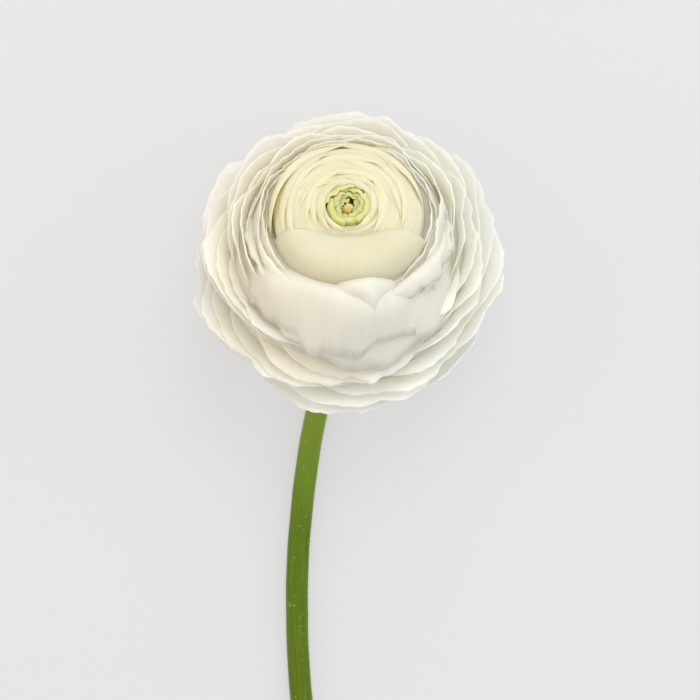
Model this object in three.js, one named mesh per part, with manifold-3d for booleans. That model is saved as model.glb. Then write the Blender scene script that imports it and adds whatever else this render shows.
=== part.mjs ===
// A cut ranunculus flower, lying on its back with its face up: a bloom of layered petals on a bare,
// gently curved stem. Millimetres, +Z up. The origin is the spot where the lowest outer petals touch
// the surface that the flower lies on. The stem runs towards -Y along that surface.
import * as THREE from "three";
import { mergeVertices } from "three/addons/utils/BufferGeometryUtils.js";
import Module from "manifold-3d";

const wasm = await Module();
wasm.setup();
const { abs, cos, exp, PI, sin, sqrt } = Math;
const { clamp, degToRad, euclideanModulo, lerp, smoothstep } = THREE.MathUtils;

// Driving dimensions. Heights in the bloom are along its own axis, from its centre.
const bloomTilt = degToRad(26); // how far the face leans from straight up, towards +Y
const bloomCentre = new THREE.Vector3(0, -19.5, 26.1);
const ballRadius = 37.4; // the ball that the outer petals' rims lie on, across its axis
const ballRise = 28.6; // and along its axis
const budRadius = 19; // the cream petals in the middle
const heartRadius = 5.7; // the green petals in the middle of those
const heartFoot = 12.7;
const seat = -15.8; // the underside of the bloom, where the stem and the calyx meet it
const petalFoot = -14;
const petalThickness = 0.62;
const outerPetalCount = 30;
const innerPetalCount = 22;
const heartPetalCount = 9;
const sepalCount = 5;
const stemDiameter = 5.4;
const stemFlare = 0.7; // how much the stem's radius grows up to the bloom
const stemReach = 142; // from the bloom's centre to the cut end, along -Y
const stemSway = 12.7; // how far the stem's curve swings out to -X
const stemSwayReach = 77; // where along the stem it swings out furthest
const gap = 0.35; // left between pieces that touch
const goldenAngle = degToRad(137.508); // from each petal to the next
const lowerSide = degToRad(-90); // the azimuth of the bloom that faces the stem
const upperSide = degToRad(90); // the azimuth on which the bloom rests

// A repeatable draw from -1 to 1 for petal i: the fraction of a multiple of an irrational number
const vary = (i, salt) => 2 * euclideanModulo((i + 1) * sqrt(salt), 1) - 1;
const between = (a, b, k) => a.map((v, n) => lerp(v, b[n], k));
const turnBetween = (a, b) => euclideanModulo(a - b + PI, 2 * PI) - PI;
const points2 = (list) => list.map((p) => new THREE.Vector2(...p));

// One petal's middle surface: s runs across it from -1 to 1, t from its foot at 0 to its rim at 1.
// Its profile is a curve of distance from the axis and height. The rim rounds off towards both sides,
// is a little uneven, and waves more the nearer it is to the free edge.
function petalPoint(p, s, t) {
  const uneven = 1 + 0.012 * sin(5 * s + p.phase);
  const along = clamp(t * (1 - p.rounding * abs(s) ** 2.4) * uneven, 0, 1);
  const at = p.profile.getPoint(along);
  const breadth = p.halfWidth * sin(PI * (0.12 + 0.62 * along)) ** 0.8;
  const azimuth = p.azimuth + s * Math.min(breadth / at.x, p.widestTurn);
  const free = smoothstep(along, 0.55, 1);
  const wave = 0.6 * sin(p.waves * s + p.phase) + 0.4 * sin(2.1 * p.waves * s + 2 * p.phase);
  const radius = at.x + p.wrap * s + free * p.ruffle * wave;
  const height = at.y + free * p.ruffle * p.lift * wave;
  return new THREE.Vector3(radius * cos(azimuth), radius * sin(azimuth), height);
}

function petalNormal(p, s, t) {
  const step = 0.02;
  const across = petalPoint(p, s + step, t).sub(petalPoint(p, s - step, t));
  const up = petalPoint(p, s, Math.min(t + step, 1)).sub(petalPoint(p, s, t - step));
  return across.cross(up).normalize();
}

function manifoldOf(points, faces) {
  const vertProperties = new Float32Array(points.flatMap((p) => [p.x, p.y, p.z]));
  const mesh = new wasm.Mesh({ numProp: 3, vertProperties, triVerts: new Uint32Array(faces) });
  return new wasm.Manifold(mesh);
}

// Closes two sheets of points, each (across + 1) by (along + 1), into one thin solid
function solidOfSheets(outer, inner, across, along) {
  const faces = [];
  const row = along + 1;
  const back = outer.length;
  const quad = (a, b, c, d) => faces.push(a, b, c, a, c, d);
  for (let i = 0; i < across; i++)
    for (let j = 0; j < along; j++) {
      const a = i * row + j;
      const b = a + row;
      quad(a, b, b + 1, a + 1);
      faces.push(back + a, back + b + 1, back + b, back + a, back + a + 1, back + b + 1);
    }
  for (let i = 0; i < across; i++) {
    const foot = i * row;
    const rim = foot + along;
    quad(foot, foot + back, foot + row + back, foot + row);
    quad(rim, rim + row, rim + row + back, rim + back);
  }
  for (let j = 0; j < along; j++) {
    const last = across * row + j;
    quad(j, j + 1, j + 1 + back, j + back);
    quad(last, last + back, last + 1 + back, last + 1);
  }
  return manifoldOf([...outer, ...inner], faces);
}

function petalSolid(p, across, along) {
  const outer = [];
  const inner = [];
  for (let i = 0; i <= across; i++)
    for (let j = 0; j <= along; j++) {
      const s = lerp(-1, 1, i / across);
      const t = lerp(p.from, 1, j / along);
      const half = petalNormal(p, s, t).multiplyScalar(petalThickness / 2);
      outer.push(petalPoint(p, s, t).add(half));
      inner.push(petalPoint(p, s, t).sub(half));
    }
  return solidOfSheets(outer, inner, across, along);
}

function solidOf(geometry) {
  const bare = geometry.clone().deleteAttribute("normal").deleteAttribute("uv");
  const merged = mergeVertices(bare, 1e-4);
  const vertProperties = new Float32Array(merged.getAttribute("position").array);
  const triVerts = new Uint32Array(merged.index.array);
  return new wasm.Manifold(new wasm.Mesh({ numProp: 3, vertProperties, triVerts }));
}

// A solid of revolution about the bloom's axis. The profile runs up from the axis and back to it.
const turned = (profile, sides) =>
  solidOf(new THREE.LatheGeometry(points2(profile), sides).rotateX(PI / 2));

const unionOf = (solids) => wasm.Manifold.union(solids);
const largestOf = (solid) => solid.decompose().sort((a, b) => b.volume() - a.volume())[0];

// Young green petals, packed upright round the pistil
function heartPetal(i) {
  const k = i / (heartPetalCount - 1);
  const wall = lerp(2.3, 5, k);
  const top = 25.5 + 1.2 * k;
  return {
    profile: new THREE.CubicBezierCurve(
      ...points2([[wall, 14], [wall * 1.05, 20], [wall * 1.2, top], [wall * 0.62, top]]),
    ),
    azimuth: i * goldenAngle,
    from: 0.45,
    halfWidth: lerp(2.4, 4.2, k),
    widestTurn: 1,
    rounding: 0.12,
    wrap: 0.12,
    ruffle: 0.22,
    lift: 0.6,
    waves: 4,
    phase: 3 * vary(i, 2),
  };
}

// Cream petals that curl in over the heart as a low dome. Those that face the stem reach furthest in.
function innerPetal(i) {
  const k = i / (innerPetalCount - 1);
  const azimuth = lowerSide + (i - innerPetalCount + 1) * goldenAngle;
  const reachIn = exp(-((turnBetween(azimuth, lowerSide) / 0.9) ** 2)) * smoothstep(k, 0.6, 1);
  const wall = lerp(7.4, budRadius - 0.6, k);
  const rim = lerp(lerp(6.4, budRadius - 2, k) + 0.5 * vary(i, 3), 7.2, 0.85 * reachIn);
  const swell = (8 * wall - 3.5 - rim) / 6; // puts the curve's middle on the wall
  const top = lerp(27.2, 26.6, k) + reachIn + 0.3 * vary(i, 5);
  return {
    profile: new THREE.CubicBezierCurve(
      ...points2([[3.5, petalFoot], [swell, -9], [swell, top + 1.6], [rim, top]]),
    ),
    azimuth,
    from: lerp(0.66, 0.58, k),
    halfWidth: lerp(8.5, 17, k),
    widestTurn: 1.05,
    rounding: 0.17,
    wrap: 0.3,
    ruffle: 0.35,
    lift: 0.4,
    waves: 3,
    phase: 3 * vary(i, 7),
  };
}

// White petals that rise round the inner ones and spread into the ball. Those that face the stem have
// relaxed: they drape out and down over each other.
function outerPetal(i) {
  const k = i / (outerPetalCount - 1);
  const azimuth = upperSide + (i - outerPetalCount + 1) * goldenAngle;
  const relaxed = exp(-((turnBetween(azimuth, lowerSide) / 1.1) ** 2));
  const polar = degToRad(lerp(36, 104, k ** 1.25)); // the rim's place on the ball, from its axis
  const rise = degToRad(lerp(92, 4, k)); // how steeply the petal runs up to its rim
  const cupped = [ballRadius * sin(polar), ballRise * cos(polar)];
  const cuppedShoulder = [cupped[0] - 11 * cos(rise), cupped[1] - 11 * sin(rise)];
  const spread = [29.5 + 7.6 * sin(0.62 * PI * k), lerp(13.5, -9, k)];
  const spreadShoulder = between([19, 36], [36.5, -13], k ** 0.7);
  const waist = between(between([24, -13], [15, 10], relaxed), [22, -22.5], k);
  const shoulder = between(cuppedShoulder, spreadShoulder, Math.max(relaxed, k));
  const rim = between(cupped, spread, relaxed);
  rim[1] += 0.8 * vary(i, 3);
  return {
    profile: new THREE.CubicBezierCurve(...points2([[4, petalFoot], waist, shoulder, rim])),
    azimuth,
    from: lerp(0.5, 0.07, smoothstep(k, 0.45, 0.8)),
    halfWidth: 20 + vary(i, 11),
    widestTurn: 1,
    rounding: 0.24,
    wrap: 0.5,
    ruffle: lerp(0.6, 0.95, k),
    lift: lerp(1.2, 0.7, k),
    waves: 4.2 + vary(i, 13),
    phase: 3 * vary(i, 7),
  };
}

// Small green leaves under the bloom, spread under its outermost petals
function sepal(i) {
  return {
    profile: new THREE.CubicBezierCurve(...points2([[4.2, -17.2], [9, -18.6], [13, -19.4], [16, -19]])),
    azimuth: lowerSide + ((i + 0.5) * 2 * PI) / sepalCount,
    from: 0.02,
    halfWidth: 3.6,
    widestTurn: 0.6,
    rounding: 0.4,
    wrap: 0,
    ruffle: 0.15,
    lift: 1,
    waves: 3,
    phase: vary(i, 2),
  };
}

const petalsOf = (count, petal, across, along) =>
  Array.from({ length: count }, (_, i) => petalSolid(petal(i), across, along));

// Outlines that keep neighbouring pieces apart, grown by a clearance
const heartOutline = (clear) => [
  [0, heartFoot - clear],
  [heartRadius + clear, heartFoot - clear],
  [heartRadius + clear, 29],
  [0, 29],
];
const budOutline = (clear) => [
  [0, petalFoot - clear],
  [budRadius - 10 + clear, petalFoot + 0.8 - clear],
  [budRadius - 2.6 + clear, -7],
  [budRadius - 0.2 + clear, 1],
  [budRadius + clear, 17],
  [budRadius + clear, 31],
  [0, 31],
];

const bloom = new THREE.Group();
bloom.position.copy(bloomCentre);
bloom.rotation.x = -bloomTilt;
bloom.updateMatrixWorld(true);

// What lies under the surface that the flower rests on, in the bloom's own frame
function underSurface() {
  const box = new THREE.BoxGeometry(200, 200, 40).translate(0, 0, -20);
  return solidOf(box.applyMatrix4(bloom.matrixWorld.clone().invert()));
}

function pistilSolid() {
  return turned([[0, 19.4], [1.35, 19.4], [1.5, 22], [1.25, 23.8], [0.6, 24.8], [0, 25]], 10);
}

function heartSolid() {
  const well = 1.9; // the radius of the opening that the pistil stands in
  const cup = turned(
    [[0, heartFoot], [4.9, heartFoot], [5, 20.5], [3.6, 22], [well, 21], [well, 19], [0, 19]],
    20,
  );
  const opening = turned([[0, 19], [well, 19], [well, 30], [0, 30]], 12);
  const petals = petalsOf(heartPetalCount, heartPetal, 4, 3);
  return largestOf(unionOf([cup, ...petals]).intersect(turned(heartOutline(0), 24)).subtract(opening));
}

function innerSolid() {
  const core = turned(
    [[0, -13.8], [8, -13], [15.8, -6.5], [17.4, 3], [17.3, 16], [16, 21], [12.5, 24.2], [0, 24.2]],
    24,
  );
  const petals = petalsOf(innerPetalCount, innerPetal, 7, 4);
  const bud = unionOf([core, ...petals]).intersect(turned(budOutline(0), 30));
  return largestOf(bud.subtract(turned(heartOutline(gap), 24)));
}

function outerSolid() {
  const core = turned(
    [
      [0, seat],
      [4.6, seat],
      [7, seat + 0.4],
      [20, -15],
      [27, -12.5],
      [30.5, -6],
      [30, 2],
      [27.5, 9],
      [24, 15],
      [21, 18.5],
      [0, 18.5],
    ],
    24,
  );
  const petals = petalsOf(outerPetalCount, outerPetal, 7, 4);
  const ball = unionOf([core, ...petals]).subtract(turned(budOutline(gap), 30));
  return largestOf(ball.subtract(underSurface()));
}

function calyxSolid() {
  const top = seat - gap;
  const collar = turned([[0, top - 1.7], [4.9, top - 1.7], [5.2, top], [0, top]], 20);
  const bore = stemDiameter / 2 + stemFlare + gap;
  const round = turned([[0, -30], [bore, -30], [bore, -10], [0, -10]], 20);
  return largestOf(unionOf([collar, ...petalsOf(sepalCount, sepal, 3, 4)]).subtract(round));
}

// The stem's centreline, from inside the calyx, round a tight crook and along the surface
function stemRoute() {
  const resting = (stemDiameter / 2) * cos(PI / 12); // a flat side of the twelve lies on the surface
  const top = new THREE.Vector3(0, 0, seat - gap).applyMatrix4(bloom.matrixWorld);
  const neck = 1.2;
  const startY = top.y - neck * sin(bloomTilt);
  const startZ = top.z - neck * cos(bloomTilt);
  const steepest = PI / 2 - bloomTilt;
  const bend = (startZ - resting) / (1 - cos(steepest));
  const route = [[top.y, top.z]];
  for (let n = 0; n <= 10; n++) {
    const slope = steepest * (1 - n / 10);
    const y = startY + bend * (sin(slope) - sin(steepest));
    const z = startZ - bend * (cos(slope) - cos(steepest));
    route.push([y, z]);
  }
  const crookEnd = route[route.length - 1][0];
  const cutEnd = bloomCentre.y - stemReach;
  for (let n = 1; n <= 32; n++) route.push([lerp(crookEnd, cutEnd, n / 32), resting]);
  const curl = stemSway / stemSwayReach ** 2;
  return route.map(([y, z]) => {
    const eased = smoothstep(top.y - y, 0, 14);
    const sway = curl * (top.y - stemSwayReach - y) ** 2 - stemSway;
    return new THREE.Vector3(eased * sway, y, z);
  });
}

function stemSolid() {
  const route = stemRoute();
  const sides = 12;
  const points = [];
  const faces = [];
  route.forEach((centre, n) => {
    const ahead = route[Math.min(n + 1, route.length - 1)];
    const along = ahead.clone().sub(route[Math.max(n - 1, 0)]).normalize();
    const tangent = n < 2 ? new THREE.Vector3(0, -sin(bloomTilt), -cos(bloomTilt)) : along;
    const side = new THREE.Vector3(0, 0, 1).cross(tangent).normalize();
    const up = tangent.clone().cross(side);
    const radius = stemDiameter / 2 + stemFlare * (1 - smoothstep(n, 0, 4));
    for (let k = 0; k < sides; k++) {
      const turn = ((k + 0.5) / sides) * 2 * PI;
      const slant = n === route.length - 1 ? 0.7 * radius * cos(turn) : 0; // the end is cut askew
      const rim = side.clone().multiplyScalar(radius * sin(turn)).addScaledVector(up, -radius * cos(turn));
      points.push(centre.clone().add(rim).addScaledVector(tangent, slant));
    }
  });
  const rings = route.length;
  const top = points.push(route[0].clone()) - 1;
  const cut = points.push(route[rings - 1].clone()) - 1;
  for (let k = 0; k < sides; k++) {
    const next = (k + 1) % sides;
    const last = (rings - 1) * sides;
    faces.push(top, next, k);
    faces.push(cut, last + k, last + next);
    for (let n = 0; n < rings - 1; n++) {
      const a = n * sides + k;
      const b = n * sides + next;
      faces.push(a, b, b + sides, a, b + sides, a + sides);
    }
  }
  return manifoldOf(points, faces);
}

function meshOf(name, solid, color, roughness) {
  const { vertProperties, triVerts } = solid.getMesh();
  const geometry = new THREE.BufferGeometry();
  geometry.setAttribute("position", new THREE.BufferAttribute(new Float32Array(vertProperties), 3));
  geometry.setIndex(new THREE.BufferAttribute(new Uint32Array(triVerts), 1));
  geometry.computeVertexNormals();
  const mesh = new THREE.Mesh(geometry, new THREE.MeshStandardMaterial({ color, roughness, metalness: 0 }));
  mesh.name = name;
  return mesh;
}

bloom.add(
  meshOf("pistil", pistilSolid(), 0xb9a560, 0.7),
  meshOf("heart_petals", heartSolid(), 0xc9cc72, 0.6),
  meshOf("inner_petals", innerSolid(), 0xefe9c4, 0.6),
  meshOf("outer_petals", outerSolid(), 0xf2f1ea, 0.6),
  meshOf("calyx", calyxSolid(), 0x93a45a, 0.7),
);

const flower = new THREE.Group();
flower.add(bloom, meshOf("stem", stemSolid(), 0x67802a, 0.55));

export default flower;
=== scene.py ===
from math import comb, cos, pi, radians, sin, sqrt, tau

import bpy
import numpy as np
from mathutils import Matrix, Vector


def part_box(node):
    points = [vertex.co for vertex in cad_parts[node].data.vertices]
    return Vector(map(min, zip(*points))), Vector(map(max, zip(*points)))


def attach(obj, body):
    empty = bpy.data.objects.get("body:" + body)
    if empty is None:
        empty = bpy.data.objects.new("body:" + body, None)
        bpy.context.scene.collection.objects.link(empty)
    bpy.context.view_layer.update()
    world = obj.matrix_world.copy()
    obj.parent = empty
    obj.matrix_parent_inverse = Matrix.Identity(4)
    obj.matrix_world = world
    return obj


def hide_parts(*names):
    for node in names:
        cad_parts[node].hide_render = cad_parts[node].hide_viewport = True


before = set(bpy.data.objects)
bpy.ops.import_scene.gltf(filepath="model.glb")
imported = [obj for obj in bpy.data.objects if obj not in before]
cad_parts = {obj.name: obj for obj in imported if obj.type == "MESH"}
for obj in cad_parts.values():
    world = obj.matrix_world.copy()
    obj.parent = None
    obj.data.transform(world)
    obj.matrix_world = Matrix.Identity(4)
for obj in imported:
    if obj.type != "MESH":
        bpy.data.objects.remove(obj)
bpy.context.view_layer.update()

mm = 0.001
goldenAngle = radians(137.508)  # from each petal to the next, as a ranunculus grows them
lowerSide = radians(-90)  # the azimuth of the bloom that faces the stem
upperSide = radians(90)  # the azimuth on which the bloom rests

# In the bloom's own millimetres, with the bloom's centre at 0 and its face upwards
bloom = {
    "tilt": radians(26),  # how far the face leans from straight up, towards +Y
    "ballRadius": 37.4,  # the ball that the outer petals' rims lie on, and its height over the centre
    "ballRise": 28.6,
    "petalFoot": -14.0,
    "seat": -15.8,  # where the petals end and the calyx begins
    "pistilMiddle": 22.2,
    "clearance": 1.5,  # the round pieces inside it stay this far above the surface
}

# The bloom's axis runs through the middle of the pistil, pistilMiddle up from the centre
bloomAxis = Vector((0, sin(bloom["tilt"]), cos(bloom["tilt"])))
pistilLow, pistilHigh = (Vector(corner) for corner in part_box("pistil"))
bloomCentre = (pistilLow + pistilHigh) / 2 - bloomAxis * bloom["pistilMiddle"] * mm
bloomPlace = Matrix.Translation(bloomCentre) @ Matrix.Rotation(-bloom["tilt"], 4, "X")


def linear(hexColour):
    channels = [int(hexColour[n:n + 2], 16) / 255 for n in (1, 3, 5)]
    return [c / 12.92 if c <= 0.04045 else ((c + 0.055) / 1.055) ** 2.4 for c in channels] + [1.0]


def lerp(a, b, k):
    return a + (b - a) * k


def mixed(a, b, k):
    return [lerp(p, q, k) for p, q in zip(a, b)]


def graded(trait, k):
    # From the innermost petal's value at k = 0 to the outermost's at 1. A bend above 1 puts the change off.
    innermost, outermost, bend = trait
    return lerp(innermost, outermost, k ** bend)


def eased(x, low, high):
    k = np.clip((x - low) / (high - low), 0, 1)
    return k * k * (3 - 2 * k)


def bell(x, width):
    return np.exp(-((x / width) ** 2))  # 1 where x is 0, and fading to nothing on both sides


def rippled(x, *waves):
    # Waves of unlike lengths, each with its size, its rate and its start, add up to an uneven line
    return sum(size * np.sin(rate * x + start) for size, rate, start in waves)


def vary(i, salt):
    return 2 * (((i + 1) * sqrt(salt)) % 1) - 1  # a repeatable draw from -1 to 1


def ownTone(i):
    return 0.5 + 0.5 * vary(i, 17)  # a petal's own lightness, from 0 to 1


def turnBetween(a, b):
    return (a - b + pi) % tau - pi


def deselectAll():
    bpy.ops.object.select_all(action="DESELECT")


def pick(*pieces):
    deselectAll()
    for piece in pieces:
        piece.select_set(True)
    bpy.context.view_layer.objects.active = pieces[0]


def joined(name, copies):
    pick(*copies)
    bpy.ops.object.join()
    piece = bpy.context.active_object
    piece.name = piece.data.name = name
    return piece


def apply(piece, kind, settings):
    pick(piece)
    modifier = piece.modifiers.new(kind, kind)
    for name, value in settings.items():
        setattr(modifier, name, value)
    bpy.ops.object.modifier_apply(modifier=modifier.name)


def copyOf(blank, name):
    copy = bpy.data.objects.new(name, blank.data.copy())
    bpy.context.collection.objects.link(copy)
    return copy


def pointsOf(piece):
    points = np.empty(len(piece.data.vertices) * 3, np.float32)
    piece.data.vertices.foreach_get("co", points)
    return points.reshape(-1, 3).astype(float)


def setPoints(piece, points):
    piece.data.vertices.foreach_set("co", points.astype(np.float32).ravel())
    piece.data.update()


def setFloat(piece, name, values):
    attribute = piece.data.attributes.new(name, "FLOAT", "POINT")
    spread = np.broadcast_to(values, len(piece.data.vertices))
    attribute.data.foreach_set("value", spread.astype(np.float32))


def inBloom(points, lowest=0.0):
    # Takes points from the bloom's own millimetres to the frame's metres, and none below the lowest
    place = points * mm @ np.array(bloomPlace.to_3x3()).T + np.array(bloomCentre)
    place[:, 2] = np.maximum(place[:, 2], lowest)
    return place


# A Mix node's colour sockets share their names with others, so they go by number
mixFactor, mixFrom, mixTo, mixResult = 0, 6, 7, 2


def addNode(tree, kind, settings, links):
    # A setting is a socket's own value, a property of the node, or a colour ramp's stops in order
    node = tree.nodes.new(kind)
    for name, value in settings.items():
        if name == "stops":
            elements = node.color_ramp.elements
            elements[0].position = value[0][0]
            elements[1].position = value[-1][0]
            for position, colour in value[1:-1]:
                elements.new(position)
            for element, (position, colour) in zip(elements, value):
                element.color = linear(colour)
        elif isinstance(name, int) or name in node.inputs:
            node.inputs[name].default_value = value
        else:
            setattr(node, name, value)
    for name, source in links.items():
        tree.links.new(source, node.inputs[name])
    return node


def newMaterial(name, settings):
    material = bpy.data.materials.new(name)
    material.use_nodes = True
    skin = material.node_tree.nodes["Principled BSDF"]
    for socket, value in settings.items():
        skin.inputs[socket].default_value = value
    return material, material.node_tree, skin


def madeOf(piece, *materials):
    piece.data.materials.clear()
    for material in materials:
        piece.data.materials.append(material)


def dress(piece, node, slot, *materials, sharpFrom=180):
    if materials:
        madeOf(piece, *materials)
    pick(piece)
    bpy.ops.object.shade_smooth_by_angle(angle=radians(sharpFrom))
    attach(piece, "root")
    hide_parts(node)


def bezier(controls, t):
    # A curve of any number of control points, at each t from 0 to 1
    last = len(controls) - 1
    weights = [comb(last, n) * t ** n * (1 - t) ** (last - n) for n in range(last + 1)]
    return np.column_stack(weights) @ np.array(controls, float)


# What every petal has in common. Places along it are shares of its length from foot to rim.
petalShape = {
    "breadth": (0.12, 0.62),  # it widens as a half wave does: from where in it, and over how much of it
    "fullness": 0.8,  # the lower, the fuller it is towards foot and rim
    "waved": (0.55, 1),  # where its waves set in and where they are full, then its crimps and its swellings
    "crimped": (0.8, 1),
    "puffed": (0.4, 0.8),
    "crimpRates": (17, 7),  # across it: of the crimps, and of the groups that they come in
    "puffRates": (6.5, 15),  # of the swellings, across it and along it
    "wideTear": 0.09,  # widths of the two tears in its edge, as shares of its half width
    "narrowTear": 0.06,
}


# A petal is a dictionary, in the bloom's millimetres and in radians, of
#   profile: radius and height of its middle line's guide points, from foot to rim
#   azimuth: the way that it faces, and from: the share of it that is left out at the foot
#   halfWidth: half its breadth, and widestTurn: the most that either half goes round the axis
#   shoulder: where its rim starts to round off, and round: by how much
#   sag: how far its sides fall, and wrap: how far one side is turned out and the other in
#   ruffle: size of its waves, waves: their rate, and lift: the share of them that goes up and down
#   ragged and notch: an uneven edge and tears in it, as shares of its length
#   crimp and puff: small folds near its rim, and soft swellings below them
#   phase: where its waves start, tone: its lightness, and age: 0 for the innermost and 1 for the outermost
def petalPoints(petal, s, t):
    # s runs across the petal from -1 to 1, t from its foot at 0 to its rim at 1. Above the shoulder the
    # square grid is drawn in to an ellipse, so that the rim is round.
    phase = petal["phase"]
    above = np.clip((t - petal["shoulder"]) / (1 - petal["shoulder"]), 0, 1)
    side = s * np.sqrt(1 - petal["round"] * above ** 2 / 2)
    rounded = lerp(petal["shoulder"], 1, above * np.sqrt(1 - petal["round"] * s ** 2 / 2))
    along = np.where(above > 0, rounded, t)
    # The edge is uneven, with one wide tear and one narrow one
    uneven = rippled(s, (1, 5, phase), (0.6, 13, 3 * phase), (0.4, 23, 0))
    wideTear = bell(s - 0.7 * np.sin(5 * phase), petalShape["wideTear"])
    narrowTear = bell(s + 0.5 * np.cos(7 * phase), petalShape["narrowTear"])
    edge = petal["ragged"] * (uneven - 1) - petal["notch"] * (wideTear + 0.6 * narrowTear)
    along = np.clip(along * (1 + edge * above ** 2), 0, 1)
    at = bezier(petal["profile"], along)
    halfWaveFrom, halfWaveShare = petalShape["breadth"]
    breadth = np.sin(pi * np.clip(halfWaveFrom + halfWaveShare * along, 0, 1)) ** petalShape["fullness"]
    halfTurn = np.minimum(petal["halfWidth"] * breadth / np.maximum(at[:, 0], 1), petal["widestTurn"])
    azimuth = petal["azimuth"] + side * halfTurn
    rate = petal["waves"]
    wave = rippled(side, (0.6, rate, phase), (0.4, 2.1 * rate, 2 * phase))
    ruffle = eased(along, *petalShape["waved"]) * petal["ruffle"]
    crimpRate, groupRate = petalShape["crimpRates"]
    crimp = petal["crimp"] * eased(along, *petalShape["crimped"])
    crimp = crimp * np.sin(crimpRate * s + 5 * phase) * np.sin(groupRate * s + 2 * phase)
    acrossRate, alongRate = petalShape["puffRates"]
    puff = petal["puff"] * eased(along, *petalShape["puffed"])
    puff = puff * np.sin(acrossRate * s + 2 * phase) * np.sin(alongRate * along + 4 * phase)
    radius = at[:, 0] + petal["wrap"] * side + ruffle * wave + crimp + puff
    height = at[:, 1] + ruffle * petal["lift"] * wave + 0.5 * crimp + 0.6 * puff
    height -= petal["sag"] * side ** 2
    return np.column_stack((radius * np.cos(azimuth), radius * np.sin(azimuth), height))


def petalsPiece(name, petals, look):
    # One grid is the blank of every petal: each copy is laid along its own petal's curve
    deselectAll()
    across, along = look["grid"]
    bpy.ops.mesh.primitive_grid_add(x_subdivisions=across, y_subdivisions=along, size=2, location=(0, 0, 0))
    blank = bpy.context.active_object
    grid = pointsOf(blank)
    thickness = look["thickness"] * mm
    copies = []
    for n, petal in enumerate(petals):
        copy = copyOf(blank, name + str(n))
        t = lerp(petal["from"], 1, (grid[:, 1] + 1) / 2)
        setPoints(copy, inBloom(petalPoints(petal, grid[:, 0], t), lowest=thickness / 2))
        setFloat(copy, "petalTone", petal["tone"])
        setFloat(copy, "petalAge", petal["age"])
        setFloat(copy, "petalLength", t)
        copies.append(copy)
    bpy.data.objects.remove(blank)
    piece = joined(name, copies)
    apply(piece, "SOLIDIFY", {"thickness": thickness, "offset": 0})
    print(name, "made of", len(petals))
    return piece


def turned(name, profile, around, lean=0.0):
    # A closed round piece on the bloom's axis: a disc at the first point of the profile, extruded
    # from point to point of it, and then leaned
    deselectAll()
    radius, height = profile[0]
    bpy.ops.mesh.primitive_circle_add(
        vertices=around, radius=radius * mm, fill_type="NGON", location=(0, 0, 0)
    )
    piece = bpy.context.active_object
    piece.name = piece.data.name = name
    setPoints(piece, pointsOf(piece) + (0, 0, height * mm))
    bpy.ops.object.mode_set(mode="EDIT")
    bpy.ops.mesh.select_all(action="SELECT")
    for nextRadius, nextHeight in profile[1:]:
        rise = (0, 0, (nextHeight - height) * mm)
        bpy.ops.mesh.extrude_region_move(TRANSFORM_OT_translate={"value": rise})
        grow = nextRadius / radius
        bpy.ops.transform.resize(value=(grow, grow, 1), center_override=(0, 0, nextHeight * mm))
        radius, height = nextRadius, nextHeight
    bpy.ops.mesh.select_all(action="DESELECT")
    bpy.ops.mesh.select_non_manifold()
    bpy.ops.mesh.edge_face_add()
    bpy.ops.mesh.select_all(action="SELECT")
    bpy.ops.mesh.normals_make_consistent(inside=False)
    bpy.ops.object.mode_set(mode="OBJECT")
    points = pointsOf(piece) / mm
    points[:, 2] += lean * points[:, 1]
    setPoints(piece, inBloom(points, lowest=bloom["clearance"] * mm))
    return piece


def addBed(piece, look):
    # Petals pressed together too tightly to part fill the depth between the free rims
    bed = look["bed"]
    filling = turned(piece.name + "Bed", bed["profile"], bed["faces"], bed["lean"])
    setFloat(filling, "petalTone", 0.5)
    setFloat(filling, "petalAge", bed["age"])
    setFloat(filling, "petalLength", bed["length"])
    return joined(piece.name, [piece, filling])


heartLook = {
    "count": 15,
    "grid": (24, 16),  # faces across and along each petal
    "thickness": 0.26,
    # Values of three parts go from the innermost petal to the outermost, with the bend of the change
    "wall": (3.4, 5.6, 1),  # radius at which it stands
    "rim": (1.3, 3.8, 1.2),  # radius that its rim curls in to
    "top": (26.6, 28.2, 1),  # height of its rim
    "halfWidth": (2.6, 4.9, 1),
    "foot": 13,
    "middle": 20,
    "unevenRim": 0.25,
    "unevenTop": 0.1,
    "slit": 0.3,  # by what share the opening in the middle is longer than round, and which way
    "slitTurn": radians(55),
    "traits": {
        "from": 0.1, "widestTurn": 1.05, "shoulder": 0.5, "round": 0.45, "sag": 0, "wrap": 0.25,
        "ruffle": 0.4, "waves": 4.5, "lift": 0.8,
        "ragged": 0.012, "notch": 0.03, "crimp": 0.16, "puff": 0.05,
    },
    "bed": {
        "profile": [[2.2, 13], [4.9, 13.4], [5.0, 24], [1.9, 23]],
        "faces": 32, "lean": 0, "age": 0.5, "length": 0.4,
    },
    # Colours from foot to rim, of the innermost petal and of the outermost, and of the patches on both
    "young": [(0.4, "#cccd78"), (0.75, "#e4e39a"), (0.97, "#ebeaaa"), (1.0, "#b9bb58")],
    "old": [(0.4, "#d2d37c"), (0.75, "#e7e69c"), (0.97, "#edebac"), (1.0, "#b4b858")],
    "blush": "#d2d478",
    "veins": 16,  # across a petal
    "glow": 0.42,  # the share of the light that passes through
}


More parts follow.
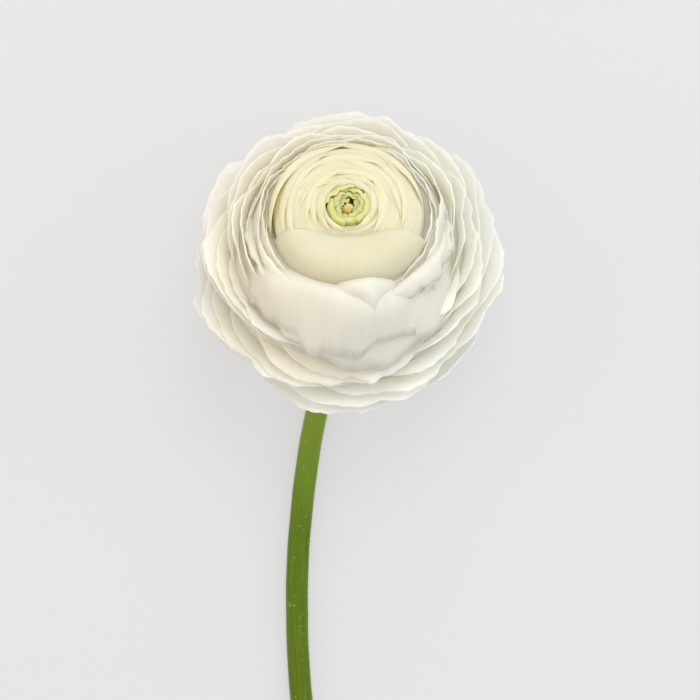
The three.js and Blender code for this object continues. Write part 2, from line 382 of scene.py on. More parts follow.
def heartPetal(i):
    k = i / (heartLook["count"] - 1)
    azimuth = i * goldenAngle
    wall = graded(heartLook["wall"], k)
    slit = heartLook["slit"] * (1 - k) * cos(2 * (azimuth - heartLook["slitTurn"]))
    rim = graded(heartLook["rim"], k) * (1 + slit) + heartLook["unevenRim"] * vary(i, 5)
    top = graded(heartLook["top"], k) + heartLook["unevenTop"] * vary(i, 3)
    foot = [[wall * 0.9, heartLook["foot"]], [wall, heartLook["middle"]]]
    return heartLook["traits"] | {
        "profile": foot + [[wall * 1.05, top + 0.3], [wall, top + 1.2], [rim, top]],
        "azimuth": azimuth,
        "halfWidth": graded(heartLook["halfWidth"], k),
        "phase": 3 * vary(i, 2),
        "tone": ownTone(i),
        "age": k,
    }


innerLook = {
    "count": 22,
    "hugging": 8,  # more petals, close round the heart
    "grid": (34, 26),
    "thickness": 0.26,
    "wall": (7.1, 18.0, 1),
    "rim": (5, 16, 1.25),
    "top": (27.9, 26.8, 1),
    "halfWidth": (13, 22, 1),
    "unevenRim": 0.4,
    "unevenTop": 0.2,
    # These reach over the bud: by what share of the way, and how many mm above the rest they lie
    "covering": {21: (0.88, 0.8), 19: (0.4, -0.4), 18: (0.6, 0.1), 16: (0.9, -0.3)},
    "coveringRim": 5.7,
    "coveringStand": 0.8,  # how far out from the rest they stand, and how much wider and darker they are
    "coveringWidth": 2.5,
    "coveringTone": 0.9,
    "coveringTurn": 1.9,
    "coveringShoulder": 0.4,
    "tuck": 1.6,  # how far the petals under them draw back, and over how wide a turn of the bud
    "tuckTurn": 0.9,
    "widestTurn": 1.4,
    "shoulder": 0.35,
    "traits": {
        "from": 0.25, "round": 0.95, "sag": 0, "wrap": 0.4, "ruffle": 0.3, "waves": 3, "lift": 0.5,
        "ragged": 0.005, "notch": 0.006, "crimp": 0.06, "puff": 0.05,
    },
    "bed": {
        "profile": [[5, 12], [8, -11], [16.5, -8], [17.4, 16], [17.5, 23.5], [16.9, 25.6], [15.2, 26.7],
                    [11, 27.3], [5.4, 27.6], [5.2, 18]],
        "faces": 64,
        "lean": 0.02,  # how much higher it is towards the upper side, mm for each mm
        "age": 0.6,
        "length": 0.7,
    },
    "young": [(0.35, "#fbf9e2"), (0.75, "#f8f5da"), (1.0, "#f4f1d4")],
    "old": [(0.35, "#f9f7e8"), (0.75, "#f4f1dc"), (1.0, "#f2efdb")],
    "blush": "#f1edca",
    "veins": 42,
    "glow": 0.5,
}


def innerPetal(i):
    k = max(i / (innerLook["count"] - 1), 0)
    azimuth = lowerSide + (i - innerLook["count"] + 1) * goldenAngle
    covering, above = innerLook["covering"].get(i, (0, 0))
    tuckedUnder = bell(turnBetween(azimuth, lowerSide), innerLook["tuckTurn"])
    tucked = innerLook["tuck"] * ((1 - covering) * tuckedUnder)
    unevenRim = innerLook["unevenRim"] * vary(i, 3) * min(k * 4, 1)  # even next to the heart
    rim = lerp(graded(innerLook["rim"], k) + unevenRim, innerLook["coveringRim"], covering)
    wall = graded(innerLook["wall"], k) + innerLook["coveringStand"] * covering - tucked
    # The dome is at its lowest from half way out
    top = graded(innerLook["top"], min(2 * k, 1)) + above - tucked + innerLook["unevenTop"] * vary(i, 5)
    foot = bloom["petalFoot"]
    return innerLook["traits"] | {
        "profile": [[3.5, foot], [wall * 1.15, foot + 2], [wall * 1.05, 10], [wall * 1.13, top + 1.5],
                    [wall, top + 2], [rim, top]],
        "azimuth": azimuth,
        "halfWidth": graded(innerLook["halfWidth"], k) + innerLook["coveringWidth"] * covering,
        "widestTurn": innerLook["coveringTurn"] if covering else innerLook["widestTurn"],
        "shoulder": lerp(innerLook["shoulder"], innerLook["coveringShoulder"], covering),
        "phase": 3 * vary(i, 7),
        "tone": ownTone(i) - innerLook["coveringTone"] * covering,
        "age": k,
    }


outerLook = {
    "count": 30,
    "moat": 12,  # more that stand close round the bud, counted back from the first of these
    "tight": 0.35,  # between two others there is one more, unless it is more relaxed than this
    "fillers": [14.5, 17.5, 19.5, 22.5],  # and these few even so
    "grid": (28, 20),
    "thickness": 0.28,
    "from": (0.3, 0.07, 1),
    "halfWidth": 23,
    "polar": (34.2, 104, 1.2),  # degrees from the bloom's axis to the rim
    "rise": (114, 4, 0.9),  # degrees at which the petal climbs to its rim: past 90 it leans in
    "guide": 11,  # how far short of the rim the shoulder's guide point lies
    # What each of these would lose over a whole count back: polar, rise, the rim's height and its ruffle
    "moatPolar": 10,
    "moatRise": 50,
    "moatDrop": 2.5,
    "moatRuffle": 0.8,
    "unevenRim": 0.8,
    # Within about this turn of the lower side the petals are relaxed and spread outwards, and those close
    # round the bud only by this share of it
    "relaxedTurn": 1.1,
    "moatRelaxed": 0.08,
    "spreadRadius": 29.5,
    "spreadGrowth": 7.6,
    "spreadHeight": (11, -9, 1),
    "waist": [24, -13],  # guide points: of a cupped petal, of a relaxed one and of the outermost
    "relaxedWaist": [15, 10],
    "outermostWaist": [22, -22.5],
    "relaxedShoulder": [19, 36],
    "outermostShoulder": [36.5, -13],
    # Petals that hang from under the bud on its lower side, the topmost first: how far each is turned, in
    # degrees, its half width, its share of the full reach, and how far it lies above the others
    "draped": {
        -1: {"turn": 10, "halfWidth": 10, "reach": 0.43, "above": -0.3},
        -2: {"turn": 44, "halfWidth": 22, "reach": 0.66, "above": 1.0},
        -3: {"turn": -8, "halfWidth": 31, "reach": 1.1, "above": 0},
        -4: {"turn": -62, "halfWidth": 27, "reach": 1.05, "above": -0.6},
        -5: {"turn": 64, "halfWidth": 27, "reach": 1.0, "above": -1.2},
        -6: {"turn": 10, "halfWidth": 31, "reach": 1.26, "above": -2.4},
    },
    "drapedShoulder": [16.8, 45],
    "drapedNear": [22.3, 24],  # where their rims are with no reach, and with the full reach
    "drapedFar": [31, 12.4],
    # Their tone of -0.2 is below the usual 0 to 1: painted shade, darkening the hanging petals on the lower
    # front, which face away from the light
    "drapedTraits": {"round": 0.4, "sag": 9, "notch": 0.018, "tone": -0.2},
    # The bloom's outline is drawn in here, most of all in the outermost petals
    "dentTurn": radians(48),
    "dentWidth": radians(24),
    "dentDepth": 2.6,
    "ruffle": (0.6, 0.95, 1),
    "relaxedRuffle": (-0.15, 0.25),  # what relaxing adds to the ruffle close round the bud, and elsewhere
    "lift": (1.2, 0.7, 1),
    "waves": 4.2,
    # Roughness of a cupped petal, what relaxing adds to it, and what hanging under the bud adds again
    "rough": {"ragged": (0.008, 0.01, 0), "crimp": (0.25, 0.15, 0.25), "puff": (0.12, 0.25, 0.15)},
    "notch": 0.012,
    "relaxedNotch": 0.03,
    "traits": {"widestTurn": 1.15, "shoulder": 0.4, "round": 0.9, "sag": 0, "wrap": 0.6},
    "bed": {
        "profile": [[4.6, -15.8], [7, -15.4], [20, -15], [27, -12.5], [30.5, -6], [30, 2], [27.5, 9],
                    [24, 15], [20.4, 20.6], [17.5, 21], [17.5, -10]],
        "faces": 64, "lean": 0, "age": 0.2, "length": 0.6,
    },
    "young": [(0.35, "#fdfcf5"), (0.75, "#fcfbf3"), (1.0, "#fbfaf3")],
    "old": [(0.35, "#fcfcfa"), (0.75, "#fcfcfa"), (1.0, "#fcfcfb")],
    "blush": "#fbf9f1",
    "veins": 46,
    "glow": 0.58,
}


def outerRim(k, moat, drape):
    # The rim on the ball, the rim that has spread, and the shoulder's guide point of each
    polar = radians(graded(outerLook["polar"], k) - outerLook["moatPolar"] * moat)
    rise = radians(graded(outerLook["rise"], k) - outerLook["moatRise"] * moat)
    cupped = [bloom["ballRadius"] * sin(polar), bloom["ballRise"] * cos(polar)]
    guide = outerLook["guide"]
    cuppedShoulder = [cupped[0] - guide * cos(rise), cupped[1] - guide * sin(rise)]
    # It spreads widest a little before the outermost petal
    spreadRadius = outerLook["spreadRadius"] + outerLook["spreadGrowth"] * sin(0.62 * pi * k ** 1.25)
    spread = [spreadRadius, graded(outerLook["spreadHeight"], k)]
    spreadShoulder = outerLook["relaxedShoulder"]
    if drape:
        farRadius, farHeight = outerLook["drapedFar"]
        spread = mixed(outerLook["drapedNear"], [farRadius, farHeight + drape["above"]], drape["reach"])
        spreadShoulder = outerLook["drapedShoulder"]
    spreadShoulder = mixed(spreadShoulder, outerLook["outermostShoulder"], k ** 0.7)
    return cupped, cuppedShoulder, spread, spreadShoulder


def outerPetal(i):
    k = i / (outerLook["count"] - 1)
    moat = max(-k, 0)  # how far back it is among those close round the bud, and 0 for the others
    k = max(k, 0)
    azimuth = upperSide + (i - outerLook["count"] + 1) * goldenAngle
    halfWidth = outerLook["halfWidth"] + vary(i, 11)
    drape = outerLook["draped"].get(i)
    if drape:
        azimuth = lowerSide + radians(drape["turn"])
        halfWidth = drape["halfWidth"]
    fromLower = turnBetween(azimuth, lowerSide)
    relaxed = bell(fromLower, outerLook["relaxedTurn"])
    if moat and not drape:
        relaxed *= outerLook["moatRelaxed"]
    cupped, cuppedShoulder, spread, spreadShoulder = outerRim(k, moat, drape)
    waist = mixed(outerLook["waist"], outerLook["relaxedWaist"], relaxed)
    waist = mixed(waist, outerLook["outermostWaist"], k)
    shoulder = mixed(cuppedShoulder, spreadShoulder, max(relaxed, k))
    if drape:
        shoulder[1] += 2 * drape["above"]
    rim = mixed(cupped, spread, relaxed)
    rim[0] -= outerLook["dentDepth"] * k * bell(fromLower - outerLook["dentTurn"], outerLook["dentWidth"])
    unevenRim = outerLook["unevenRim"] * vary(i, 3) * (1 - moat * 2)  # more even close round the bud
    rim[1] += unevenRim - outerLook["moatDrop"] * moat
    moatRuffle, restRuffle = outerLook["relaxedRuffle"]
    ruffle = graded(outerLook["ruffle"], k) + (restRuffle if k > 0 else moatRuffle) * relaxed
    petal = outerLook["traits"] | {
        "profile": [[4, bloom["petalFoot"]], waist, shoulder, rim],
        "azimuth": azimuth,
        "relaxed": relaxed,
        "from": graded(outerLook["from"], k),
        "halfWidth": halfWidth,
        "ruffle": ruffle - outerLook["moatRuffle"] * moat,
        "lift": graded(outerLook["lift"], k),
        "waves": outerLook["waves"] + vary(i, 13),
        "phase": 3 * vary(i, 7),
        "notch": outerLook["notch"] + outerLook["relaxedNotch"] * relaxed * (0.5 + 0.5 * vary(i, 19)),
        "tone": ownTone(i),
        "age": k,
    }
    for trait, (cuppedShare, relaxedShare, drapedShare) in outerLook["rough"].items():
        petal[trait] = cuppedShare + relaxedShare * relaxed + (drapedShare if drape else 0)
    return petal | (outerLook["drapedTraits"] if drape else {})


calyxLook = {
    "count": 5,
    "grid": (18, 22),
    "thickness": 0.45,
    "profile": [[4.2, -17.2], [9, -18.6], [13, -19.4], [16, -19]],
    "traits": {
        "from": 0.0, "halfWidth": 3.9, "widestTurn": 0.6, "shoulder": 0.1, "round": 1.9, "sag": 0,
        "wrap": 0.0, "ruffle": 0.2, "waves": 3, "lift": 1.0,
        "ragged": 0.01, "notch": 0.0, "crimp": 0.08, "puff": 0.1, "age": 0.5,
    },
    "bed": {  # the collar that the sepals stand on
        "profile": [[3.9, -17.9], [4.8, -17.8], [5.1, -16.2], [3.9, -16.2]],
        "faces": 40, "lean": 0, "age": 0.5, "length": 0.5,
    },
    "greens": [(0.3, "#7f9440"), (0.5, "#93a656"), (0.7, "#b4c07c")],
    "hairTint": "#eef2cf",
    "veins": 8,  # across a sepal
}


def sepal(i):
    return calyxLook["traits"] | {
        "profile": calyxLook["profile"],
        "azimuth": lowerSide + (i + 0.5) * tau / calyxLook["count"],
        "phase": vary(i, 2),
        "tone": ownTone(i),
    }


def petalMaterial(name, look):
    # Living petal: thin and waxy, so it shines softly, glows where light comes through it, and shows faint
    # veins from foot to rim, about 1 mm apart on the large petals and half a millimetre on the small ones
    material, tree, skin = newMaterial(
        name, {"Roughness": 0.5, "IOR": 1.4, "Specular IOR Level": 0.3, "Sheen Weight": 0.05}
    )
    length = addNode(tree, "ShaderNodeAttribute", {"attribute_name": "petalLength"}, {})
    tone = addNode(tree, "ShaderNodeAttribute", {"attribute_name": "petalTone"}, {})
    age = addNode(tree, "ShaderNodeAttribute", {"attribute_name": "petalAge"}, {})
    young = addNode(tree, "ShaderNodeValToRGB", {"stops": look["young"]}, {"Fac": length.outputs["Fac"]})
    old = addNode(tree, "ShaderNodeValToRGB", {"stops": look["old"]}, {"Fac": length.outputs["Fac"]})
    aged = addNode(
        tree, "ShaderNodeMix", {"data_type": "RGBA"},
        {mixFactor: age.outputs["Fac"], mixFrom: young.outputs["Color"], mixTo: old.outputs["Color"]}
    )
    uv = addNode(tree, "ShaderNodeUVMap", {}, {})
    stretch = addNode(
        tree, "ShaderNodeMapping", {"Scale": (look["veins"], 2.2, 1)}, {"Vector": uv.outputs["UV"]}
    )
    streaks = addNode(
        tree, "ShaderNodeTexNoise", {"Scale": 1.0, "Detail": 3.0, "Roughness": 0.55},
        {"Vector": stretch.outputs["Vector"]}
    )
    brighter = addNode(
        tree, "ShaderNodeMapRange", {"From Min": -1.0, "To Min": 0.92, "To Max": 1.02},
        {"Value": tone.outputs["Fac"]}
    )
    veined = addNode(
        tree, "ShaderNodeMapRange", {"From Min": 0.3, "From Max": 0.7, "To Min": 0.965, "To Max": 1.0},
        {"Value": streaks.outputs["Fac"]}
    )
    shade = addNode(
        tree, "ShaderNodeMath", {"operation": "MULTIPLY"},
        {0: brighter.outputs["Result"], 1: veined.outputs["Result"]}
    )
    # Soft patches of the blush colour, about 12 mm across
    place = addNode(tree, "ShaderNodeTexCoord", {}, {})
    patches = addNode(
        tree, "ShaderNodeTexNoise", {"Scale": 1 / (12 * mm), "Detail": 1.0},
        {"Vector": place.outputs["Object"]}
    )
    patched = addNode(
        tree, "ShaderNodeMapRange", {"From Min": 0.45, "From Max": 0.65, "To Max": 0.55},
        {"Value": patches.outputs["Fac"]}
    )
    blushed = addNode(
        tree, "ShaderNodeMix", {"data_type": "RGBA", mixTo: linear(look["blush"])},
        {mixFactor: patched.outputs["Result"], mixFrom: aged.outputs[mixResult]}
    )
    colour = addNode(
        tree, "ShaderNodeVectorMath", {"operation": "SCALE"},
        {"Vector": blushed.outputs[mixResult], "Scale": shade.outputs["Value"]}
    )
    bump = addNode(
        tree, "ShaderNodeBump", {"Strength": 0.35, "Distance": 0.12 * mm},
        {"Height": streaks.outputs["Fac"]}
    )
    tree.links.new(colour.outputs["Vector"], skin.inputs["Base Color"])
    tree.links.new(bump.outputs["Normal"], skin.inputs["Normal"])
    through = addNode(
        tree, "ShaderNodeBsdfTranslucent", {},
        {"Color": colour.outputs["Vector"], "Normal": bump.outputs["Normal"]}
    )
    leaf = addNode(
        tree, "ShaderNodeMixShader", {"Fac": look["glow"]},
        {1: skin.outputs["BSDF"], 2: through.outputs["BSDF"]}
    )
    tree.links.new(leaf.outputs["Shader"], tree.nodes["Material Output"].inputs["Surface"])
    return material


heart = petalsPiece("heartPetals", [heartPetal(i) for i in range(heartLook["count"])], heartLook)
dress(addBed(heart, heartLook), "heart_petals", "green_petal", petalMaterial("youngGreenPetal", heartLook))

innerSteps = list(range(-innerLook["hugging"], innerLook["count"]))
innerSteps += [n + 0.5 for n in range(innerLook["count"] - 2)]  # one more between each two
inner = petalsPiece("innerPetals", [innerPetal(i) for i in innerSteps], innerLook)
dress(addBed(inner, innerLook), "inner_petals", "cream_petal", petalMaterial("creamPetal", innerLook))

outerPetals = [outerPetal(i) for i in range(outerLook["count"])]
outerPetals += [outerPetal(-n) for n in range(1, outerLook["moat"])]
between = [outerPetal(n + 0.5) for n in range(-outerLook["moat"], outerLook["count"] - 1)]
outerPetals += [petal for petal in between if petal["relaxed"] < outerLook["tight"]]
outerPetals += [outerPetal(i) for i in outerLook["fillers"]]
outer = petalsPiece("outerPetals", outerPetals, outerLook)
dress(addBed(outer, outerLook), "outer_petals", "white_petal", petalMaterial("whitePetal", outerLook))

pistilLook = {
    "foot": 19.4,
    "height": 8.0,
    "radius": 1.9,
    "cone": [[1, 0], [1.05, 0.45], [0.85, 0.78], [0.4, 0.96]],  # in shares of the radius and the height
    "faces": 24,
    "seeds": 110,
    "seedSize": 0.4,
    "seedShape": (0.75, 0.75, 1.25),
    "seedDepth": 0.3,  # how far each is lowered
    "seedsFrom": 0.35,  # share of the height at which the lowest stand
    "seedColours": [(0.3, "#bbae58"), (0.55, "#d9c878"), (0.75, "#eadc98")],
}


# The head of the pistil: a blunt cone packed with small dry seeds
def pistilPiece():
    foot, height, radius = (pistilLook[part] for part in ("foot", "height", "radius"))
    profile = [[radius * out, foot + height * up] for out, up in pistilLook["cone"]]
    cone = turned("pistil", profile, pistilLook["faces"])
    deselectAll()
    bpy.ops.mesh.primitive_uv_sphere_add(segments=8, ring_count=6, radius=1, location=(0, 0, 0))
    blank = bpy.context.active_object
    seedPoints = pointsOf(blank) * pistilLook["seedShape"] * pistilLook["seedSize"]
    copies = [cone]
    for i in range(pistilLook["seeds"]):
        # From the tip, where they stand upright, each leans further out than the one before
        k = (i + 0.5) / pistilLook["seeds"]
        lean = k ** 0.7 * pi / 2
        level = foot + height * lerp(pistilLook["seedsFrom"], 1, cos(lean)) - pistilLook["seedDepth"]
        out = radius * 1.02 * sin(lean)
        turn = i * goldenAngle
        place = Matrix.Translation((out * cos(turn), out * sin(turn), level))
        place = place @ Matrix.Rotation(turn, 4, "Z") @ Matrix.Rotation(lean * 0.8, 4, "Y")
        copy = copyOf(blank, "seed" + str(i))
        setPoints(copy, inBloom(seedPoints @ np.array(place.to_3x3()).T + np.array(place.translation)))
        copies.append(copy)
    bpy.data.objects.remove(blank)
    print("pistil", pistilLook["seeds"], "seeds")
    return joined("pistil", copies)


def seedMaterial():
    # Unripe seeds: dry, matt and tan, mottled over about 0.6 mm
    material, tree, skin = newMaterial(
        "drySeed", {"Roughness": 0.75, "IOR": 1.45, "Specular IOR Level": 0.25}
    )
    place = addNode(tree, "ShaderNodeTexCoord", {}, {})
    grain = addNode(
        tree, "ShaderNodeTexNoise", {"Scale": 1 / (0.6 * mm), "Detail": 2.0},
        {"Vector": place.outputs["Object"]}
    )
    tan = addNode(
        tree, "ShaderNodeValToRGB", {"stops": pistilLook["seedColours"]}, {"Fac": grain.outputs["Fac"]}
    )
    tree.links.new(tan.outputs["Color"], skin.inputs["Base Color"])
    return material


def sepalMaterial():
    # Sepal: a thin pale green leaf with lengthwise veins 1 mm apart, softly hairy outside
    material, tree, skin = newMaterial("hairySepal", {
        "Roughness": 0.55, "IOR": 1.42, "Specular IOR Level": 0.3,
        "Sheen Weight": 0.4, "Sheen Roughness": 0.45, "Sheen Tint": linear(calyxLook["hairTint"])})
    uv = addNode(tree, "ShaderNodeUVMap", {}, {})
    stretch = addNode(
        tree, "ShaderNodeMapping", {"Scale": (calyxLook["veins"], 1.5, 1)}, {"Vector": uv.outputs["UV"]}
    )
    veins = addNode(
        tree, "ShaderNodeTexNoise", {"Scale": 1.0, "Detail": 4.0, "Roughness": 0.6},
        {"Vector": stretch.outputs["Vector"]}
    )
    green = addNode(
        tree, "ShaderNodeValToRGB", {"stops": calyxLook["greens"]}, {"Fac": veins.outputs["Fac"]}
    )
    bump = addNode(
        tree, "ShaderNodeBump", {"Strength": 0.5, "Distance": 0.15 * mm}, {"Height": veins.outputs["Fac"]}
    )
    tree.links.new(green.outputs["Color"], skin.inputs["Base Color"])
    tree.links.new(bump.outputs["Normal"], skin.inputs["Normal"])
    return material


stemLook = {
    "diameter": 5.4,
    "flare": 0.7,  # how much its radius grows towards the top, and over what length
    "flareLength": 6.0,
    "gap": 0.35,  # between the stem's top and the petals' seat
    "neck": 1.2,  # straight length under the seat
    "crookPoints": 36,  # on the curve down to the surface, and on the stretch along it
    "levelPoints": 260,
    "sway": 12.7,  # how far it bows to -X, and how far from the top it does so most
    "swayReach": 77,
    "swayStart": 14,  # length over which the bow sets in
    "ribs": 15,
    "ribDepth": 0.035,
    "grid": (60, 260),  # faces round it and along it
    "cutSlant": 0.7,  # mm along the stem for each mm across it
    "rind": 0.7,  # the green wall round the pale pith
    "pithEdge": 0.25,
    "pithSunk": 0.5,
    "hairs": 2200,  # all round, before those at the underside are left out
    "hairLength": 0.7,
    "hairRadius": 0.05,
    "hairRoot": 0.08,  # how deep it is set
    "hairLean": (0.35, 0.3),  # how far it leans towards the cut, and how much this varies
    "hairless": -0.55,  # how far down the surface may face and still have hairs: -1 is straight down
    "greens": [(0.3, "#455904"), (0.5, "#4e6606"), (0.72, "#58700c")],
    "speckColour": "#a3b86a",
    # lighter yellow for the top under the bloom: partly its young colour, partly painted light against the
    # bloom's shadow
    "youngAndLitColour": "#8ea53a",
    "ripeColour": "#555a0e",
    "hairTint": "#c8d88c",
    "pithColours": [(0.0, "#dfe6b4"), (0.5, "#c3cf86"), (0.9, "#94a552")],
}


def stemRoute():
    # From the seat it leaves along the bloom's axis, curves down to the surface, then lies along -Y
    # with a bow to one side. Points in the frame's millimetres, top first.
    resting = stemLook["diameter"] / 2
    top = np.array(bloomPlace @ Vector((0, 0, (bloom["seat"] - stemLook["gap"]) * mm))) / mm
    startY = top[1] - stemLook["neck"] * sin(bloom["tilt"])
    startZ = top[2] - stemLook["neck"] * cos(bloom["tilt"])
    steepest = pi / 2 - bloom["tilt"]
    bend = (startZ - resting) / (1 - cos(steepest))
    crook = stemLook["crookPoints"]
    slope = steepest * (1 - np.arange(1, crook + 1) / crook)
    crookY = startY + bend * (np.sin(slope) - sin(steepest))
    crookZ = startZ - bend * (np.cos(slope) - cos(steepest))
    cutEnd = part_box("stem")[0][1] / mm + stemLook["cutSlant"] * resting
    level = np.linspace(crookY[-1], cutEnd, stemLook["levelPoints"])[1:]
    y = np.concatenate(([top[1], startY], crookY, level))
    z = np.concatenate(([top[2], startZ], crookZ, np.full(len(level), resting)))
    curl = stemLook["sway"] / stemLook["swayReach"] ** 2
    sway = curl * (top[1] - stemLook["swayReach"] - y) ** 2 - stemLook["sway"]
    x = eased(top[1] - y, 0, stemLook["swayStart"]) * sway
    return np.column_stack((x, y, z))


def stemFrames(route, lengths):
    # Place, direction, side and up at each length down the stem, and its whole length in mm
    steps = np.concatenate(([0], np.cumsum(np.linalg.norm(np.diff(route, axis=0), axis=1))))
    place = np.column_stack([np.interp(lengths * steps[-1], steps, route[:, n]) for n in range(3)])
    ahead = np.gradient(route, axis=0)
    ahead = np.column_stack([np.interp(lengths * steps[-1], steps, ahead[:, n]) for n in range(3)])
    ahead /= np.linalg.norm(ahead, axis=1)[:, None]
    side = np.cross((0, 0, 1), ahead)
    side /= np.linalg.norm(side, axis=1)[:, None]
    return place, ahead, side, np.cross(ahead, side), steps[-1]


def stemSurface(turn, length):
    # turn is 0 at the underside, length runs from 0 at the top to 1 at the cut
    place, ahead, side, up, reach = stemFrames(stemRoute(), length)
    narrowing = eased(length * reach, 0, stemLook["flareLength"])
    radius = stemLook["diameter"] / 2 + stemLook["flare"] * (1 - narrowing)
    ribs = stemLook["ribDepth"] * np.cos(stemLook["ribs"] * turn + 0.8 * np.sin(9 * length))
    lumps = rippled(length, (0.03, 31, 2 * np.sin(turn)), (0.02, 73, turn))
    outward = side * np.sin(turn)[:, None] - up * np.cos(turn)[:, None]
    atCut = length > 0.9999
    slant = stemLook["cutSlant"] * radius * np.cos(turn) * atCut
    points = place + outward * (radius + ribs + lumps)[:, None] + ahead * slant[:, None]
    return points, outward, ahead


def stemPiece(skin, pith):
    # A grid rolled up round the route, its seam merged and both ends closed
    deselectAll()
    around, along = stemLook["grid"]
    bpy.ops.mesh.primitive_grid_add(x_subdivisions=around, y_subdivisions=along, size=2, location=(0, 0, 0))
    piece = bpy.context.active_object
    piece.name = piece.data.name = "stem"
    grid = pointsOf(piece)
    points, outward, ahead = stemSurface(grid[:, 0] * pi, (grid[:, 1] + 1) / 2)
    points[:, 2] = np.maximum(points[:, 2], 0)
    setPoints(piece, points * mm)
    bpy.ops.object.mode_set(mode="EDIT")
    bpy.ops.mesh.select_all(action="SELECT")
    bpy.ops.mesh.remove_doubles(threshold=0.01 * mm)
    bpy.ops.mesh.select_all(action="DESELECT")
    bpy.ops.mesh.select_non_manifold()
    bpy.ops.mesh.edge_face_add()
    bpy.ops.mesh.select_all(action="SELECT")
    bpy.ops.mesh.normals_make_consistent(inside=False)
    # The cut end: a green rind round a paler pith that has shrunk back a little
    bpy.ops.mesh.select_all(action="DESELECT")
    bpy.ops.object.mode_set(mode="OBJECT")
    madeOf(piece, skin, pith)
    ends = [face for face in piece.data.polygons if len(face.vertices) > 4]  # all others have four corners
    cut = min(ends, key=lambda face: face.center.y)
    cut.select = True
    inward = -cut.normal * stemLook["pithSunk"] * mm
    bpy.ops.object.mode_set(mode="EDIT")
    bpy.ops.mesh.inset(thickness=stemLook["rind"] * mm)
    piece.active_material_index = 1
    bpy.ops.object.material_slot_assign()
    bpy.ops.mesh.inset(thickness=stemLook["pithEdge"] * mm)
    bpy.ops.transform.translate(value=inward)
    bpy.ops.object.mode_set(mode="OBJECT")
    print("stem")
    return piece


def stemHairs(skin):
    # Short soft hairs, drawn about twice as thick as real ones so that they show
    deselectAll()
    bpy.ops.mesh.primitive_cone_add(
        vertices=3, radius1=1, radius2=0, depth=1, end_fill_type="NGON", location=(0, 0, 0)
    )
    blank = bpy.context.active_object
    madeOf(blank, skin)
    hair = pointsOf(blank) + (0, 0, 0.5)
    count = stemLook["hairs"]
    usualLean, leanSpread = stemLook["hairLean"]
    index = np.arange(count)
    turn = (index * goldenAngle) % tau - pi
    points, outward, ahead = stemSurface(turn, (index + 0.5) / count * 0.995)
    copies = []
    for i in range(count):
        if outward[i][2] < stemLook["hairless"]:
            continue
        rise = Vector(outward[i] + ahead[i] * (usualLean + leanSpread * vary(i, 5))).normalized()
        facing = np.array(rise.to_track_quat("Z", "X").to_matrix())
        width = stemLook["hairRadius"]
        length = stemLook["hairLength"] * (1 + 0.4 * vary(i, 3))
        copy = copyOf(blank, "hair" + str(i))
        place = (hair * (width, width, length)) @ facing.T + points[i] - outward[i] * stemLook["hairRoot"]
        place[:, 2] = np.maximum(place[:, 2], 0)
        setPoints(copy, place * mm)
        copies.append(copy)
    bpy.data.objects.remove(blank)
    print("stem", len(copies), "hairs")
    return copies


def stemMaterial():
    # Fresh stem: juicy green with faint lengthwise strands 0.5 mm apart, pale specks, and a down of fine
    # hairs that greys it where it is seen edge on
    material, tree, skin = newMaterial("freshStem", {
        "Roughness": 0.45, "IOR": 1.4, "Specular IOR Level": 0.2,
        "Sheen Weight": 0.4, "Sheen Roughness": 0.35, "Sheen Tint": linear(stemLook["hairTint"])})
    uv = addNode(tree, "ShaderNodeUVMap", {}, {})
    stretch = addNode(tree, "ShaderNodeMapping", {"Scale": (34, 9, 1)}, {"Vector": uv.outputs["UV"]})
    strands = addNode(
        tree, "ShaderNodeTexNoise", {"Scale": 1.0, "Detail": 3.0, "Roughness": 0.6},
        {"Vector": stretch.outputs["Vector"]}
    )
    green = addNode(
        tree, "ShaderNodeValToRGB", {"stops": stemLook["greens"]}, {"Fac": strands.outputs["Fac"]}
    )
    # Pale specks, coarser than real ones so that they show
    place = addNode(tree, "ShaderNodeTexCoord", {}, {})
    cells = addNode(
        tree, "ShaderNodeTexNoise", {"Scale": 1 / (0.7 * mm), "Detail": 1.0},
        {"Vector": place.outputs["Object"]}
    )
    specks = addNode(
        tree, "ShaderNodeMapRange", {"From Min": 0.68, "From Max": 0.76, "To Max": 0.4},
        {"Value": cells.outputs["Fac"]}
    )
    specked = addNode(
        tree, "ShaderNodeMix", {"data_type": "RGBA", mixTo: linear(stemLook["speckColour"])},
        {mixFactor: specks.outputs["Result"], mixFrom: green.outputs["Color"]}
    )
    # The part under the bloom is painted lighter and yellower: partly the young stem's own colour, partly
    # painted light where the bloom's shadow falls on it. The oldest part, at the cut, is more olive
    split = addNode(tree, "ShaderNodeSeparateXYZ", {}, {"Vector": uv.outputs["UV"]})
    young = addNode(
        tree, "ShaderNodeMapRange", {"From Min": 0.16, "From Max": 0.46, "To Min": 0.75, "To Max": 0.0},
        {"Value": split.outputs["Y"]}
    )
    yellowedAndLit = addNode(
        tree, "ShaderNodeMix", {"data_type": "RGBA", mixTo: linear(stemLook["youngAndLitColour"])},
        {mixFactor: young.outputs["Result"], mixFrom: specked.outputs[mixResult]}
    )
    ripe = addNode(
        tree, "ShaderNodeMapRange", {"From Min": 0.5, "From Max": 1.0, "To Min": 0.0, "To Max": 0.6},
        {"Value": split.outputs["Y"]}
    )
    colour = addNode(
        tree, "ShaderNodeMix", {"data_type": "RGBA", mixTo: linear(stemLook["ripeColour"])},
        {mixFactor: ripe.outputs["Result"], mixFrom: yellowedAndLit.outputs[mixResult]}
    )
    bump = addNode(
        tree, "ShaderNodeBump", {"Strength": 0.4, "Distance": 0.1 * mm}, {"Height": strands.outputs["Fac"]}
    )
    tree.links.new(colour.outputs[mixResult], skin.inputs["Base Color"])
    tree.links.new(bump.outputs["Normal"], skin.inputs["Normal"])
    return material


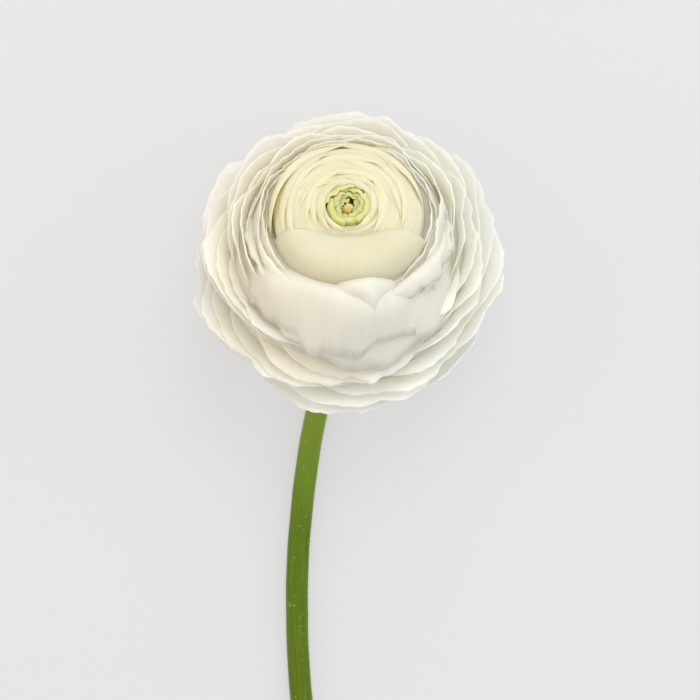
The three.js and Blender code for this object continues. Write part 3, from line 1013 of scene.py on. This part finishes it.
def pithMaterial():
    # The cut through the stem: wet and pale, with round cells about 0.3 mm across
    material, tree, skin = newMaterial("cutPith", {"Roughness": 0.35, "IOR": 1.36})
    place = addNode(tree, "ShaderNodeTexCoord", {}, {})
    cells = addNode(
        tree, "ShaderNodeTexVoronoi", {"Scale": 1 / (0.3 * mm)}, {"Vector": place.outputs["Object"]}
    )
    pale = addNode(
        tree, "ShaderNodeValToRGB", {"stops": stemLook["pithColours"]}, {"Fac": cells.outputs["Distance"]}
    )
    tree.links.new(pale.outputs["Color"], skin.inputs["Base Color"])
    return material


dress(pistilPiece(), "pistil", "pistil", seedMaterial())

calyx = petalsPiece("calyx", [sepal(i) for i in range(calyxLook["count"])], calyxLook)
dress(addBed(calyx, calyxLook), "calyx", "sepal", sepalMaterial())

freshStem, cutPith = stemMaterial(), pithMaterial()
stem = joined("stem", [stemPiece(freshStem, cutPith)] + stemHairs(freshStem))
dress(stem, "stem", "stem", sharpFrom=50)

studio = {
    "floorSize": 4,
    "floorColour": "#747474",
    "floorGlow": 0.53,  # light from a lit panel under the floor
    "skyStrength": 0.92,
    "lights": {  # each one's place and size in metres, its power in watts and its colour
        "windowLight": ((0.15, 0.75, 0.9), 0.8, 6.1, "#ffffff"),
        "overheadLight": ((0.05, 0.1, 1.1), 0.6, 1.0, "#ffffff"),
        "rightLight": ((0.9, 0.15, 0.6), 0.7, 3.0, "#dcecff"),
        "leftLight": ((-0.9, 0.1, 0.6), 0.8, 2.8, "#ffd6a2"),
    },
    "bounces": 32,  # of light in all, and off or through petals: many, which keeps their crevices bright
    "petalBounces": 24,
    "cameraDistance": 800 * mm,  # from the bloom's centre
    "seenWidth": 167.7 * mm,  # at that distance
    "lookAt": (0.4 * mm, -41.1 * mm),
    "sensorWidth": 36,
}

deselectAll()
bpy.ops.mesh.primitive_plane_add(size=studio["floorSize"], location=(0, 0, 0))
floor = bpy.context.active_object
floor.name = "floor"
# Matt painted board, lit a little from below
paintedFloor = newMaterial("paintedFloor", {
    "Base Color": linear(studio["floorColour"]), "Roughness": 0.9,
    "Emission Color": linear("#ffffff"), "Emission Strength": studio["floorGlow"]})[0]
madeOf(floor, paintedFloor)

scene = bpy.context.scene
scene.view_settings.view_transform = "Standard"
scene.cycles.max_bounces = studio["bounces"]
scene.cycles.diffuse_bounces = studio["petalBounces"]
scene.cycles.transmission_bounces = studio["petalBounces"]
world = bpy.data.worlds.new("studioSky")
scene.world = world
world.use_nodes = True
sky = world.node_tree.nodes["Background"]
sky.inputs["Color"].default_value = linear("#ffffff")
sky.inputs["Strength"].default_value = studio["skyStrength"]


def softBox(name, place, size, power, colour):
    deselectAll()
    bpy.ops.object.light_add(type="AREA", location=place)
    light = bpy.context.active_object
    light.name = name
    light.data.energy = power
    light.data.size = size
    light.data.color = linear(colour)[:3]
    towards = bloomCentre - Vector(place)
    light.rotation_euler = towards.to_track_quat("-Z", "Y").to_euler()


for name, settings in studio["lights"].items():
    softBox(name, *settings)

deselectAll()
overBloom = bloomCentre.z + studio["cameraDistance"]
bpy.ops.object.camera_add(location=(*studio["lookAt"], overBloom), rotation=(0, 0, 0))
camera = bpy.context.active_object
camera.data.sensor_width = studio["sensorWidth"]
camera.data.lens = camera.data.sensor_width * studio["cameraDistance"] / studio["seenWidth"]
scene.camera = camera
print("studio is set")
